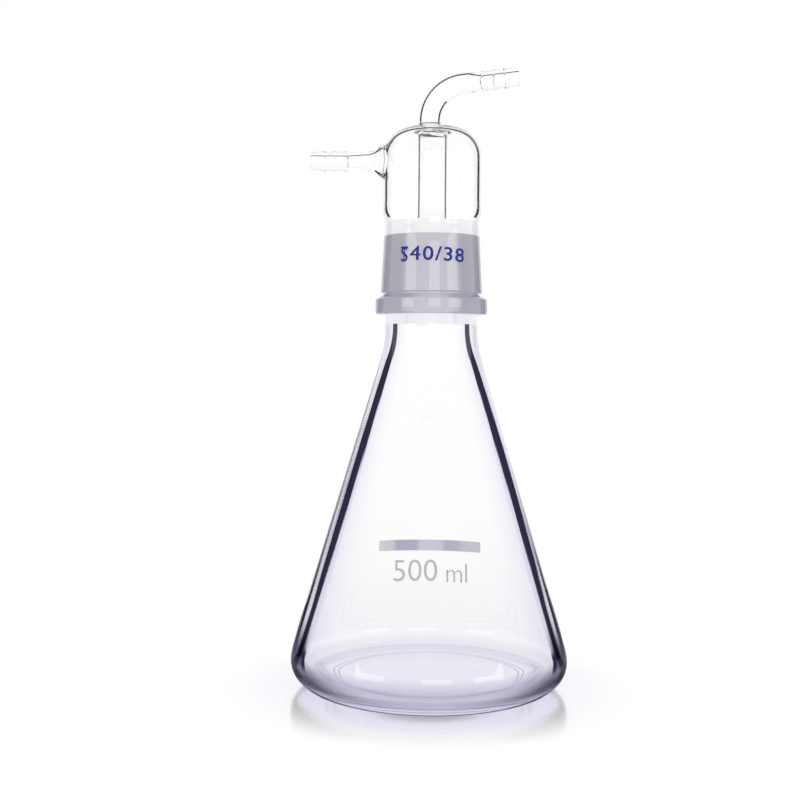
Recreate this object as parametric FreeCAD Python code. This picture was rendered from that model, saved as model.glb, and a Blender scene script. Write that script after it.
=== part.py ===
import FreeCAD, Part

import os
from math import atan2, cos, radians, sin, sqrt, tan

# Vacuum buffer bottle: a heavy-wall conical flask with an outside-ground neck, and a glass head
# that sits on it as a cap. Two pieces of blown glass, all sizes in millimetres.
# The vertical axis of the flask is Z, and Z = 0 is the surface that the flask stands on.
# The hose connection for the pump points to -X and the one for the filter to +X.

# Ground joint 40/38: large end 40 mm wide, 38 mm long, one millimetre narrower for every ten
joint_large_diameter = 40.0
joint_length = 38.0
joint_taper = 0.1
joint_film = 0.05  # radial room between the two ground faces, where the grease is

# Flask, outside
flask_height = 195.0
body_diameter = 120.0
heel_radius = 12.0  # below the widest place
belly_radius = 20.0  # above the widest place, where the cone begins
neck_length = 8.7  # from where the cone's straight side would meet the neck to the ground
neck_blend_radius = 50.0
mouth_rounding = 1.0

# Flask, inside
body_wall = 4.7
neck_bore_diameter = 29.6
floor_thickness = 5.0
inner_heel_radius = 9.0
inner_neck_radius = 46.0

# Underside of the flask: a foot ring with the middle pushed up
foot_ring_width = 3.8
foot_step_width = 3.4
foot_step_rise = 1.1
punt_rise = 1.6

# Head: a domed cylinder above the socket
dome_diameter = 42.6
dome_wall = 1.5
dome_height = 42.6  # above the end of the ground socket
crown_radius = 39.0
knuckle_radius = 12.0

# Socket of the head, outside and inside
socket_wall = 2.75
bare_cone_length = 4.4  # of the flask's ground cone, below the socket's foot
ground_above_mouth = 6.6  # the socket stays ground this far above the flask's mouth
waist_length = 4.5  # where the ground socket opens out into the dome
waist_rounding = 6.0
ring_diameter = 48.8
ring_height = 8.6
ring_chamfer_drop = 2.2
ring_foot_rounding = 1.1
groove_width = 0.9  # the fold between the socket and its ring
groove_depth = 1.5

# Tube that leaves the dome's top, and the dip tube below it
arm_diameter = 9.4
arm_wall = 1.05
arm_root_radius = 2.0
arm_offset = 1.3  # the hand-made seal sets the arm this far off the axis, towards -X
arm_stub_length = 2.1  # from the dome's top to the start of the bend
bend_radius = 16.3
arm_rise_degrees = 7.4  # the hose connection climbs this much above level
dip_diameter = 13.0
dip_wall = 1.0
dip_root_radius = 2.0
dip_below_socket = 4.4
dip_cut_degrees = 8.0  # the tube's end is cut aslant, lowest towards -X
seal_depth = 1.2  # from the dome's top down to where the arm's bore begins
seal_shoulder_height = 2.8  # the dip tube's bore narrows to the arm's over this height

# Hose connections, both for a tube of 8 mm bore
barb_crest_diameter = 9.0
barb_valley_diameter = 7.8
barb_bore_diameter = 4.4
barb_pitch = 4.9
barb_count = 3
barb_step_length = 0.4
barb_lead_length = 6.1  # from the last crest to the tip
tip_diameter = 7.4
tip_rounding = 0.5
bore_widening_length = 6.0

# Connection to the filter, at the end of the bend
filter_run_to_first_crest = 8.8

# Connection to the vacuum pump, on the dome's side
pump_drop = 16.1  # below the dome's top
pump_length = 31.9  # from the dome's side to the tip
pump_stem_diameter = 8.4
pump_stem_wall = 1.5
pump_neck_diameter = 13.8  # short neck pulled out of the dome, on which the stem is sealed
pump_neck_length = 1.0  # beyond the dome's side
pump_flare_radius = 9.0  # the stem opens to the neck like a trumpet
pump_root_radius = 1.2
pump_mouth_rounding = 0.9  # edge of the opening, on the dome's inner face

# Two distances nearer to each other than this are taken as one
same_place = 0.001


def point(radius, height):
    return FreeCAD.Vector(radius, 0, height)


class Outline:
    """A closed outline in the half plane of radius and height, turned into a solid about Z."""

    def __init__(self, radius, height):
        self.first = point(radius, height)
        self.here = self.first
        self.edges = []

    def line(self, radius, height):
        end = point(radius, height)
        self.edges.append(Part.LineSegment(self.here, end).toShape())
        self.here = end
        return self

    def arc(self, centre, radius, height):
        """The short way round centre, which is a (radius, height) pair, to the given point."""
        middle = point(*centre)
        end = point(radius, height)
        way = (self.here - middle) + (end - middle)
        on_arc = middle + way.normalize() * (end - middle).Length
        self.edges.append(Part.Arc(self.here, on_arc, end).toShape())
        self.here = end
        return self

    def corner(self, radius, height, rounding, next_radius, next_height):
        """A straight run towards a corner, rounded on the way to the next point."""
        tip = point(radius, height)
        back = (self.here - tip).normalize()
        onward = (point(next_radius, next_height) - tip).normalize()
        half = back.getAngle(onward) / 2
        leg = rounding / tan(half)
        self.line((tip + back * leg).x, (tip + back * leg).z)
        centre = tip + (back + onward).normalize() * (rounding / sin(half))
        end = tip + onward * leg
        return self.arc((centre.x, centre.z), end.x, end.z)

    def solid(self):
        if (self.here - self.first).Length > same_place:
            self.line(self.first.x, self.first.z)
        face = Part.Face(Part.Wire(self.edges))
        turned = face.revolve(FreeCAD.Vector(0, 0, 0), FreeCAD.Vector(0, 0, 1), 360)
        return Part.Solid(turned.Shells[0]) if turned.ShapeType != "Solid" else turned


joint_top = flask_height
joint_foot = flask_height - joint_length
cone_top = joint_foot - neck_length
socket_foot = joint_foot + bare_cone_length
ground_top = joint_top + ground_above_mouth
dome_top = ground_top + dome_height
dip_end = socket_foot - dip_below_socket
bend_start = dome_top + arm_stub_length
pump_height = dome_top - pump_drop

cone_radius = joint_large_diameter / 2
body_radius = body_diameter / 2
bore_radius = neck_bore_diameter / 2
dome_radius = dome_diameter / 2
dip_radius = dip_diameter / 2
dip_bore = dip_radius - dip_wall
arm_radius = arm_diameter / 2
arm_bore = arm_radius - arm_wall
pump_neck_radius = pump_neck_diameter / 2
pump_neck_end = dome_radius + pump_neck_length
pump_first_crest = dome_radius + pump_length - barb_lead_length - (barb_count - 1) * barb_pitch
upright = FreeCAD.Vector(0, 0, 1)


def ground_radius(height):
    """Radius of the flask's ground cone at a height."""
    return cone_radius - (height - joint_foot) * joint_taper / 2


def cone_side():
    """Where the cone's straight side leaves the belly's arc, and its slope from upright."""
    centre = (body_radius - belly_radius, heel_radius)
    across = centre[0] - cone_radius
    up = cone_top - centre[1]
    slope = atan2(across, up) + atan2(belly_radius, sqrt(across**2 + up**2 - belly_radius**2))
    touch = (centre[0] + belly_radius * cos(slope), centre[1] + belly_radius * sin(slope))
    return centre, touch, slope


def make_flask():
    belly_centre, touch, slope = cone_side()
    floor_edge = body_radius - heel_radius - foot_ring_width - foot_step_width
    punt_radius = (floor_edge**2 + punt_rise**2) / (2 * punt_rise)
    punt_top = foot_step_rise + punt_rise

    # The inner cone runs parallel to the outer one, a wall's thickness away
    inner_foot = floor_thickness
    run_down = (touch[1] - inner_foot) * tan(slope)
    inner_cone_at_floor = touch[0] + run_down - body_wall / cos(slope)
    rise_to_bore = (inner_cone_at_floor - bore_radius) / tan(slope)
    bore_corner = inner_foot + rise_to_bore

    outline = Outline(0, punt_top)
    outline.arc((0, punt_top - punt_radius), floor_edge, foot_step_rise)
    outline.line(floor_edge + foot_step_width, 0)
    outline.line(body_radius - heel_radius, 0)
    outline.arc((body_radius - heel_radius, heel_radius), body_radius, heel_radius)
    outline.arc(belly_centre, *touch)
    outline.corner(cone_radius, cone_top, neck_blend_radius, cone_radius, joint_foot)
    outline.line(cone_radius, joint_foot)
    outline.corner(
        ground_radius(joint_top), joint_top, mouth_rounding, bore_radius, joint_top
    )
    outline.corner(bore_radius, joint_top, mouth_rounding, bore_radius, bore_corner)
    outline.corner(
        bore_radius, bore_corner, inner_neck_radius, inner_cone_at_floor, inner_foot
    )
    outline.corner(inner_cone_at_floor, inner_foot, inner_heel_radius, floor_edge, inner_foot)
    outline.line(floor_edge, inner_foot)
    outline.arc((0, inner_foot + punt_rise - punt_radius), 0, inner_foot + punt_rise)
    return outline.solid()


def dome_side(wall):
    """The dome's crown and knuckle at a depth below its outer face: centres and meeting point."""
    knuckle_from_axis = dome_radius - knuckle_radius
    crown_centre = dome_top - crown_radius
    span = crown_radius - knuckle_radius
    knuckle_height = crown_centre + sqrt(span**2 - knuckle_from_axis**2)
    reach = (crown_radius - wall) / span
    meeting = (
        knuckle_from_axis * reach,
        crown_centre + (knuckle_height - crown_centre) * reach,
    )
    return (0, crown_centre), (knuckle_from_axis, knuckle_height), meeting


def socket_radius(height):
    """Radius of the ground socket at a height: the flask's cone and the grease film."""
    return ground_radius(height) + joint_film


def make_head_outside():
    """Dome, socket and ring as one solid, not yet hollow."""
    crown_centre, knuckle_centre, meeting = dome_side(0)
    ring_top = socket_foot + ring_height
    groove_top = ring_top + groove_width
    ring = ring_diameter / 2
    waist = socket_radius(ground_top) + socket_wall
    socket = socket_radius(groove_top) + socket_wall
    fold = socket - groove_depth

    outline = Outline(0, dome_top)
    outline.arc(crown_centre, *meeting)
    outline.arc(knuckle_centre, dome_radius, knuckle_centre[1])
    outline.corner(dome_radius, ground_top + waist_length, waist_rounding, waist, ground_top)
    outline.corner(waist, ground_top, waist_rounding, socket, groove_top)
    outline.line(socket, groove_top)
    outline.line(fold, groove_top - groove_width / 2)
    outline.line(fold, ring_top)
    outline.line(ring, ring_top - ring_chamfer_drop)
    outline.corner(ring, socket_foot, ring_foot_rounding, cone_radius, socket_foot)
    outline.line(0, socket_foot)
    return outline.solid()


def make_head_inside():
    """The hollow of the dome and the socket, with no dip tube in it."""
    crown_centre, knuckle_centre, meeting = dome_side(dome_wall)
    inner = dome_radius - dome_wall
    throat = socket_radius(ground_top)

    outline = Outline(0, dome_top - dome_wall)
    outline.arc(crown_centre, *meeting)
    outline.arc(knuckle_centre, inner, knuckle_centre[1])
    outline.corner(inner, ground_top + waist_length, waist_rounding, throat, ground_top)
    outline.line(throat, ground_top)
    outline.line(socket_radius(socket_foot), socket_foot)
    outline.line(0, socket_foot)
    return outline.solid()


def make_dip_tube():
    """The dip tube and the ring seal that joins it to the crown, with its end cut aslant."""
    crown_height = dome_top - crown_radius
    under_crown = crown_radius - dome_wall
    root_radius = dip_radius + dip_root_radius
    root_rise = sqrt((under_crown - dip_root_radius) ** 2 - root_radius**2)
    share = under_crown / (under_crown - dip_root_radius)
    in_crown = crown_radius - dome_wall / 2
    share_in_crown = in_crown / (under_crown - dip_root_radius)
    low = dip_end - dip_diameter

    outline = Outline(0, crown_height + in_crown)
    outline.arc(
        (0, crown_height), root_radius * share_in_crown, crown_height + root_rise * share_in_crown
    )
    outline.line(root_radius * share, crown_height + root_rise * share)
    outline.arc((root_radius, crown_height + root_rise), dip_radius, crown_height + root_rise)
    outline.line(dip_radius, low)
    outline.line(0, low)
    tube = outline.solid()

    block = 4 * dip_diameter
    corner = FreeCAD.Vector(-block / 2, -block / 2, -block)
    below = Part.makeBox(block, block, block, corner)
    below.rotate(point(0, 0), FreeCAD.Vector(0, 1, 0), -dip_cut_degrees)
    below.translate(point(0, dip_end))
    return tube.cut(below)


def make_dip_bore():
    """The way up the dip tube, with a shoulder in the seal where it narrows to the arm's bore."""
    low = dip_end - dip_diameter
    shoulder_top = dome_top - seal_depth
    shoulder_foot = shoulder_top - seal_shoulder_height
    arm_foot = point(-arm_offset, shoulder_top)

    below = Part.makeCylinder(dip_bore, shoulder_foot - low, point(0, low), upright)
    wide = Part.Wire(Part.makeCircle(dip_bore, point(0, shoulder_foot), upright))
    narrow = Part.Wire(Part.makeCircle(arm_bore, arm_foot, upright))
    shoulder = Part.makeLoft([wide, narrow], True, True)
    above = Part.makeCylinder(arm_bore, bend_start - shoulder_top, arm_foot, upright)
    return below.fuse([shoulder, above])


def make_bend(radius):
    """A rod of the given radius along the arm's bend, from upright to nearly level."""
    start = point(-arm_offset, bend_start)
    circle = Part.makeCircle(radius, start, upright)
    disc = Part.Face(Part.Wire(circle))
    pivot = point(bend_radius - arm_offset, bend_start)
    return disc.revolve(pivot, FreeCAD.Vector(0, 1, 0), 90 - arm_rise_degrees)


def aim(shape, start, away):
    """Puts a shape drawn about Z at a place, with its Z pointing away along a direction."""
    turn = FreeCAD.Rotation(upright, away)
    shape.Placement = FreeCAD.Placement(start, turn).multiply(shape.Placement)
    return shape


def draw_crests(outline, first_crest):
    """Draws the crests up to the fire-polished tip, on a connection that points along +Z."""
    for number in range(barb_count):
        height = first_crest + number * barb_pitch
        outline.line(barb_valley_diameter / 2, height - barb_step_length)
        outline.line(barb_crest_diameter / 2, height)
    tip = first_crest + (barb_count - 1) * barb_pitch + barb_lead_length
    bore = barb_bore_diameter / 2
    outline.corner(tip_diameter / 2, tip, tip_rounding, bore, tip)
    outline.corner(bore, tip, tip_rounding, bore, first_crest)
    outline.line(bore, first_crest)


def make_filter_end():
    """The straight run after the bend, with its crests, hollow, drawn along +Z from the bend."""
    outline = Outline(arm_bore, 0)
    outline.line(arm_radius, 0)
    draw_crests(outline, filter_run_to_first_crest)
    outline.line(arm_bore, filter_run_to_first_crest - bore_widening_length)
    return outline.solid()


def draw_trumpet(outline, neck, stem):
    """Draws the flare from the neck's radius down to the stem's."""
    along = sqrt(pump_flare_radius**2 - (pump_flare_radius - neck + stem) ** 2)
    stem_start = pump_neck_end + along
    outline.arc((stem + pump_flare_radius, stem_start), stem, stem_start)


def make_pump_outside():
    """The connection on the dome's side, not yet hollow, drawn along +Z from the axis."""
    foot = sqrt((dome_radius - dome_wall) ** 2 - pump_neck_radius**2)
    outline = Outline(0, foot)
    outline.line(pump_neck_radius, foot)
    outline.line(pump_neck_radius, pump_neck_end)
    draw_trumpet(outline, pump_neck_radius, pump_stem_diameter / 2)
    draw_crests(outline, pump_first_crest)
    outline.line(0, pump_first_crest)
    return outline.solid()


def make_pump_bore():
    """The way through that connection, opening like a trumpet into the dome."""
    neck = pump_neck_radius - pump_stem_wall
    outline = Outline(0, dome_radius / 2)
    outline.line(neck, dome_radius / 2)
    outline.line(neck, pump_neck_end)
    draw_trumpet(outline, neck, pump_stem_diameter / 2 - pump_stem_wall)
    outline.line(barb_bore_diameter / 2, pump_first_crest)
    outline.line(barb_bore_diameter / 2, pump_first_crest + barb_pitch)
    outline.line(0, pump_first_crest + barb_pitch)
    return outline.solid()


def edges_round(shape, start, away, radius, low, high):
    """The edges that lie on a cylinder about a line, between two distances along the line."""
    found = []
    for edge in shape.Edges:
        first = edge.FirstParameter
        last = edge.LastParameter
        spots = [edge.valueAt(first + (last - first) * share / 4) - start for share in range(5)]
        along = [spot.dot(away) for spot in spots]
        off = [(spot - away * far).Length - radius for spot, far in zip(spots, along)]
        between = low < min(along) and max(along) < high - same_place
        if max(map(abs, off)) < same_place and between:
            found.append(edge)
    return found


def make_head():
    to_pump = FreeCAD.Vector(-1, 0, 0)
    pump_start = point(0, pump_height)
    arm_start = point(-arm_offset, 0)
    turned = radians(90 - arm_rise_degrees)
    bend_end = point(
        bend_radius * (1 - cos(turned)) - arm_offset, bend_start + bend_radius * sin(turned)
    )
    to_filter = FreeCAD.Vector(sin(turned), 0, cos(turned))

    arm_foot = dome_top - 2 * dome_wall
    stub_start = arm_start + upright * arm_foot
    arm_stub = Part.makeCylinder(arm_radius, bend_start - arm_foot, stub_start, upright)
    outside = make_head_outside().fuse(arm_stub)
    outside = outside.fuse(aim(make_pump_outside(), pump_start, to_pump))
    root = edges_round(outside, arm_start, upright, arm_radius, arm_foot, bend_start)
    outside = outside.makeFillet(arm_root_radius, root)
    root = edges_round(outside, pump_start, to_pump, pump_neck_radius, 0, pump_neck_end)
    outside = outside.makeFillet(pump_root_radius, root)

    hollow = make_head_inside().fuse(aim(make_pump_bore(), pump_start, to_pump))
    pump_hole = pump_neck_radius - pump_stem_wall
    mouth = edges_round(hollow, pump_start, to_pump, pump_hole, 0, pump_neck_end)
    hollow = hollow.makeFillet(pump_mouth_rounding, mouth)

    shell = outside.cut(hollow).fuse(make_dip_tube()).cut(make_dip_bore())
    bend = make_bend(arm_radius).cut(make_bend(arm_bore))
    filter_end = aim(make_filter_end(), bend_end, to_filter)
    return shell.fuse([bend, filter_end]).removeSplitter()


def write(name, shape):
    solids = shape.Solids
    if len(solids) != 1 or not shape.isValid():
        raise ValueError(f"{name}: {len(solids)} solids, valid {shape.isValid()}")
    solids[0].exportStep(os.path.join("parts", name + ".step"))
    box = shape.BoundBox
    print(
        f"{name}: {shape.Volume / 1000:.1f} cm3, x {box.XMin:.2f} to {box.XMax:.2f}, "
        f"y {box.YMin:.2f} to {box.YMax:.2f}, z {box.ZMin:.2f} to {box.ZMax:.2f}"
    )


os.makedirs("parts", exist_ok=True)
write("flask", make_flask())
write("head", make_head())
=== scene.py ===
from math import atan2, cos, pi, radians, sin, sqrt, tan

import bmesh
import bpy
from mathutils import Matrix, Vector


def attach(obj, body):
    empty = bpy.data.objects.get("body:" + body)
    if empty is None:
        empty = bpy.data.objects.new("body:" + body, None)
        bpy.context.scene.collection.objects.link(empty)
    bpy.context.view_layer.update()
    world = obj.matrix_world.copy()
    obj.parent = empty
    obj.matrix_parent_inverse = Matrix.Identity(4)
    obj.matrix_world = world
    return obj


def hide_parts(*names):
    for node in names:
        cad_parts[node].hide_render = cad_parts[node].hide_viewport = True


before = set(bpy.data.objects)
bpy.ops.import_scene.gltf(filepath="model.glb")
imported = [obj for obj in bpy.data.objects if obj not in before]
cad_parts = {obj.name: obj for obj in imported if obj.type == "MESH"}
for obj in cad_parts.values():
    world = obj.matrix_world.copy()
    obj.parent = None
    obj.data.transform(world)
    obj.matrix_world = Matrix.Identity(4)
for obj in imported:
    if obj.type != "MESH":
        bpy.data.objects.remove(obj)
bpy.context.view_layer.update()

bl_info = {
    "name": "Vacuum buffer bottle",
    "version": (1, 0, 0),
    "blender": (4, 5, 0),
    "location": "View3D > Sidebar > Bottle",
    "description": "Builds a 500 ml buffer bottle of blown glass with a ground joint",
    "category": "Add Mesh",
}

# The script's unit is the metre, and most sizes are easier to read in millimetres
MM = 0.001
# Refraction of borosilicate glass, and of glass that light goes through with hardly a bend
GLASS_INDEX = 1.473
UNBENT = 1.01
# The joint narrows 1 in 10 in diameter, and its radius half as fast
TAPER = 0.05
SMOOTH_BELOW = radians(28)

# Flask: roundings from the foot up, and the straight neck below the ground cone
HEEL, INNER_HEEL = 12 * MM, 2.5 * MM
BELLY = 20 * MM
SHOULDER, INNER_SHOULDER = 50 * MM, 46 * MM
LIP = 1 * MM
NECK = 8.7 * MM
# Its floor is pushed up, and a sloping ring leads from there down to the flat foot
PUNT = 1.6 * MM
FOOT_STEP, FOOT_RING, FOOT_INSET = 1.1 * MM, 3.4 * MM, 7.2 * MM
# Ground joint: room for the grease film, then how far up the cone the socket starts, and its wall
GREASE = 0.05 * MM
SOCKET_LIFT = 4.4 * MM
SOCKET_WALL = 2.75 * MM

# Head: dome with its wall, crown and knuckle
DOME = 21.3 * MM
WALL = 1.5 * MM
CROWN = 39 * MM
KNUCKLE = 12 * MM
# Arm: how far it stands beside the axis, its radii, the rounding at its root, and its bend
ARM_OFFSET = 1.3 * MM
ARM, ARM_BORE = 4.7 * MM, 3.65 * MM
ARM_ROOT = 2 * MM
BEND_RADIUS, BEND_LIFT = 16.3 * MM, 2.1 * MM
BEND = radians(90 - 7.4)
# Dip tube: radii, rounding at its root, how far it reaches below the socket, slant of its end
DIP, DIP_BORE = 6.5 * MM, 5.5 * MM
DIP_ROOT = 2 * MM
DIP_BELOW = 4.4 * MM
DIP_SLANT = radians(8)
# Pump connection: neck, flare and stem, the roundings of its hole outside and in, and its reach
PUMP_NECK, PUMP_STEM, PUMP_FLARE = 6.9 * MM, 4.2 * MM, 9 * MM
PUMP_ROOT, PUMP_MOUTH = 1.2 * MM, 0.9 * MM
PUMP_REACH = 31.9 * MM
# Hose ends: three saw-tooth crests, each with a steep back and a fine edge, then the tip
CRESTS = 3
CREST, CREST_FOOT, CREST_PITCH = 4.5 * MM, 3.9 * MM, 4.9 * MM
CREST_BACK, CREST_EDGE = 0.4 * MM, 0.12 * MM
TIP, TIP_BORE, TIP_LENGTH, TIP_EDGE = 3.7 * MM, 2.2 * MM, 6.1 * MM, 0.5 * MM

# How far aslant the eye meets a bore where its dark line ends, from 0 straight on to 1 along it
LINE_DOME, LINE_DIP, LINE_ARM, LINE_PUMP = 0.292, 0.337, 0.39, 0.37
# Marks of a bore that shows no line, and of a face that is no bore
NO_LINE = 0.05
NO_BORE = 0.0


def linear(code):
    """An sRGB hex colour as the linear RGBA that a shader socket takes."""
    parts = [int(code[i:i + 2], 16) / 255 for i in (1, 3, 5)]
    return [c / 12.92 if c <= 0.04045 else ((c + 0.055) / 1.055) ** 2.4 for c in parts] + [1.0]


def add(tree, kind, inputs=None, **settings):
    """Adds a node with its settings and gives its outputs. An input is a value or a socket."""
    node = tree.nodes.new(kind)
    for name, value in settings.items():
        setattr(node, name, value)
    for key, value in (inputs or {}).items():
        if isinstance(value, bpy.types.NodeSocket):
            tree.links.new(value, node.inputs[key])
        else:
            node.inputs[key].default_value = value
    return node.outputs


def length(name, default, description):
    """A size in metres that a user can change."""
    return bpy.props.FloatProperty(
        name=name, description=description, default=default * MM, unit="LENGTH", precision=5
    )


def colour(name, code, description):
    """A colour that a user can change."""
    return bpy.props.FloatVectorProperty(
        name=name,
        description=description,
        default=linear(code),
        size=4,
        subtype="COLOR",
        min=0,
        max=1,
    )


class BottleSizes(bpy.types.PropertyGroup):
    """Sizes of the glass."""

    body_diameter: length("Body", 120.0, "Widest outer diameter of the flask")
    body_wall: length("Body wall", 4.7, "Thickness of the flask's side")
    flask_height: length("Flask height", 195.0, "From the ground to the flask's mouth")
    bore: length("Neck bore", 29.6, "Inner diameter of the flask's neck")
    floor: length("Floor", 5.0, "Height of the flask's inner floor above the ground")
    joint_large: length("Joint, large end", 40.0, "Diameter of the ground cone at its foot")
    joint_length: length("Joint length", 38.0, "Length of the ground cone")
    faces_round: bpy.props.IntProperty(
        name="Faces round", description="Faces in one turn of the flask", default=144, min=24
    )


class BottleColours(bpy.types.PropertyGroup):
    """Colours of glass, print and floor, and the shade and reflections painted on the glass and floor.
    """

    glass: colour("Glass", "#ffffff", "Tint of light that passes one surface of clear glass")
    # Painted shade: the clear glass is drawn a touch darker low down on the flask
    glass_low_shade: colour("Glass, low down", "#fefefe", "The same near the foot, where it is thicker")
    # Painted shade where the flask's wall is seen aslant
    glass_side_shade: colour("Glass, seen aslant", "#f0eef8", "Tint where the eye looks along the wall")
    dark_line: colour("Inner edge", "#36324b", "Line where the inner wall mirrors the dark room")
    # Painted dark reflection along the flask's outer edge, fading out upwards
    outer_line: colour("Outer edge", "#302c3e", "Thin line at the outer edge of the flask")
    # Painted shade on the heel's thick glass, darker at its sides where it is seen aslant, and on the
    # knee above it
    heel: colour("Heel", "#cfcede", "Thick glass of the heel")
    heel_side: colour("Heel, seen aslant", "#666479", "Thick glass of the heel at its sides")
    # Painted shade on the inner face at the heel's far side
    heel_behind: colour("Heel behind", "#f3f2f8", "The heel's far side, seen through the flask")
    # Painted shade along the edges of the sloping foot ring
    foot_line: colour("Foot ring", "#9c99ae", "Edges of the sloping ring under the flask")
    bare_ground: colour("Ground glass", "#fdfdff", "Haze of one ground surface by itself")
    # The pressed joint's haze carries painted shade, darker where it is seen aslant
    pressed_haze_and_shade: colour("Ground joint", "#dcdae1", "Haze where two ground surfaces meet")
    pressed_side_haze_and_shade: colour("Ground joint, aslant", "#bfbec7", "The same, seen aslant")
    enamel: colour("Enamel", "#b6b5bc", "Grey enamel of the volume mark")
    ink: colour("Joint print", "#0b0c84", "Blue print of the joint's size")
    floor: colour("Floor", "#ffffff", "Floor and background")
    floor_shine: colour("Floor's shine", "#f3f1fa", "Tint of what the floor mirrors")
    # Painted shade on the floor round the bottle, where glass shows it
    floor_near_shade: colour("Floor under glass", "#f7f6fa", "Floor near the bottle, as glass shows it")


def from_axis(tree, place):
    """A place's parts across, along and up, and how far it is from the upright axis."""
    xyz = add(tree, "ShaderNodeSeparateXYZ", {0: place})
    flat = add(tree, "ShaderNodeCombineXYZ", {0: xyz[0], 1: xyz[1]})[0]
    return *xyz, add(tree, "ShaderNodeVectorMath", {0: flat}, operation="LENGTH")["Value"]


def line_limit(radius, width):
    """How far aslant the eye meets a bore where a dark line of this width ends."""
    return 1 - sqrt(1 - ((1 + width / radius) / GLASS_INDEX) ** 2)


def flask_side(sizes):
    """The slope of the flask's straight side, and the radius and height where it starts.

    The side runs from where it touches the belly's arc to the foot of the straight neck."""
    middle = sizes.body_diameter / 2 - BELLY
    across = middle - sizes.joint_large / 2
    up = sizes.flask_height - sizes.joint_length - NECK - HEEL
    slope = atan2(across, up) + atan2(BELLY, sqrt(across**2 + up**2 - BELLY**2))
    return slope, middle + BELLY * cos(slope), HEEL + BELLY * sin(slope)


def section_mesh(name, corners):
    """A line of (radius, height, rounding, line) corners, with support points between.

    The line is the width of a bore's dark line, 0 for a bore without one, None for no bore."""
    spacing = 3 * MM
    # Support points keep this many times a rounding's radius away from its corner
    room = 2.5
    spots, rounding, dark = [], [], []

    def lay(radius, height, fillet, line):
        spots.append((radius, 0, height))
        rounding.append(fillet)
        unlit = NO_BORE if line is None else NO_LINE
        dark.append(line_limit(radius, line) if line else unlit)

    lay(*corners[0])
    for before, here in zip(corners, corners[1:]):
        start, run = Vector(before[:2]), Vector(here[:2]) - Vector(before[:2])
        clear_start, clear = before[2] * room, (before[2] + here[2]) * room
        steps = int(max(0, run.length - clear) / spacing)
        for step in range(1, steps):
            share = (clear_start + (run.length - clear) * step / steps) / run.length
            line = here[3]
            if before[3] and here[3]:
                line = before[3] + (here[3] - before[3]) * share
            lay(*(start + run * share), 0, line)
        lay(*here)
    mesh = bpy.data.meshes.new(name)
    mesh.from_pydata(spots, [(i, i + 1) for i in range(len(spots) - 1)], [])
    for title, values in (("rounding", rounding), ("dark_line", dark)):
        mesh.attributes.new(title, "FLOAT", "POINT").data.foreach_set("value", values)
    return mesh


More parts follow.
